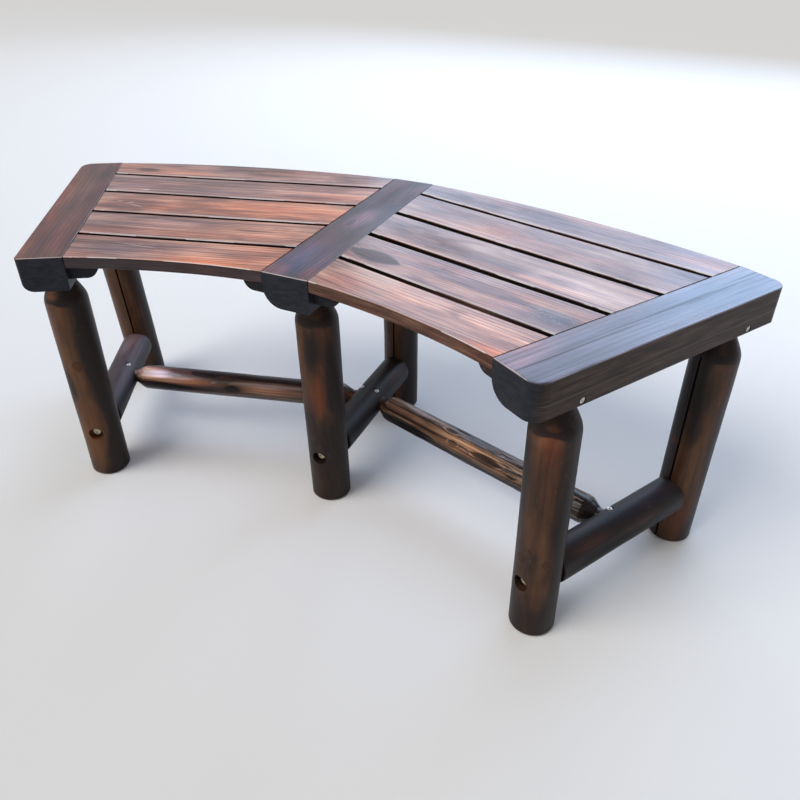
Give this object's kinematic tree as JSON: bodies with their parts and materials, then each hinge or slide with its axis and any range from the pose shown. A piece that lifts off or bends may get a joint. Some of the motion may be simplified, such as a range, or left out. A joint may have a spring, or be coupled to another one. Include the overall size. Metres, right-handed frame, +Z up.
{
  "type": "log bench",
  "caption": "Curved garden bench: slats let in between crossbeams, on round log legs tied by round stretchers.",
  "frame": {"origin": "centre of the bench's plan outline, on the ground", "axes": "+X to the right along the bench's length as seen from its hollow front side, +Y to the back, +Z up"},
  "size_m": [1.1832, 0.5326, 0.43],
  "materials": {
    "beam_wood": "burnt, stained and clear-lacquered",
    "rail_wood": "burnt and clear-lacquered",
    "slat_wood_left": "burnt, stained and clear-lacquered",
    "slat_wood_right": "burnt, stained and clear-lacquered",
    "cleat_wood": "burnt and clear-lacquered",
    "leg_wood": "burnt and clear-lacquered",
    "cross_wood": "burnt and clear-lacquered",
    "long_wood_left": "burnt and clear-lacquered",
    "long_wood_right": "burnt, wire-brushed and clear-lacquered",
    "screw_steel": "bright zinc",
    "bolt_zinc": "dull yellowed zinc"
  },
  "bodies": {
    "root": {"cap_left": "beam_wood", "cap_centre": "beam_wood", "cap_right": "beam_wood", "rail_left": "rail_wood", "rail_centre": "rail_wood", "rail_right": "rail_wood", "slat_left_1": "slat_wood_left", "slat_left_2": "slat_wood_left", "slat_left_3": "slat_wood_left", "slat_left_4": "slat_wood_left", "slat_left_5": "slat_wood_left", "slat_right_1": "slat_wood_right", "slat_right_2": "slat_wood_right", "slat_right_3": "slat_wood_right", "slat_right_4": "slat_wood_right", "slat_right_5": "slat_wood_right", "cleat_left": "cleat_wood", "cleat_centre_left": "cleat_wood", "cleat_centre_right": "cleat_wood", "cleat_right": "cleat_wood", "leg_left_front": "leg_wood", "leg_left_back": "leg_wood", "leg_centre_front": "leg_wood", "leg_centre_back": "leg_wood", "leg_right_front": "leg_wood", "leg_right_back": "leg_wood", "cross_stretcher_left": "cross_wood", "cross_stretcher_centre": "cross_wood", "cross_stretcher_right": "cross_wood", "long_stretcher_left": "long_wood_left", "long_stretcher_right": "long_wood_right", "leg_screws": "screw_steel", "stretcher_screws": "screw_steel", "cap_screws": "screw_steel", "slat_screws": "screw_steel", "cleat_screws": "screw_steel", "leg_bolts": "bolt_zinc"}
  },
  "joints": []
}
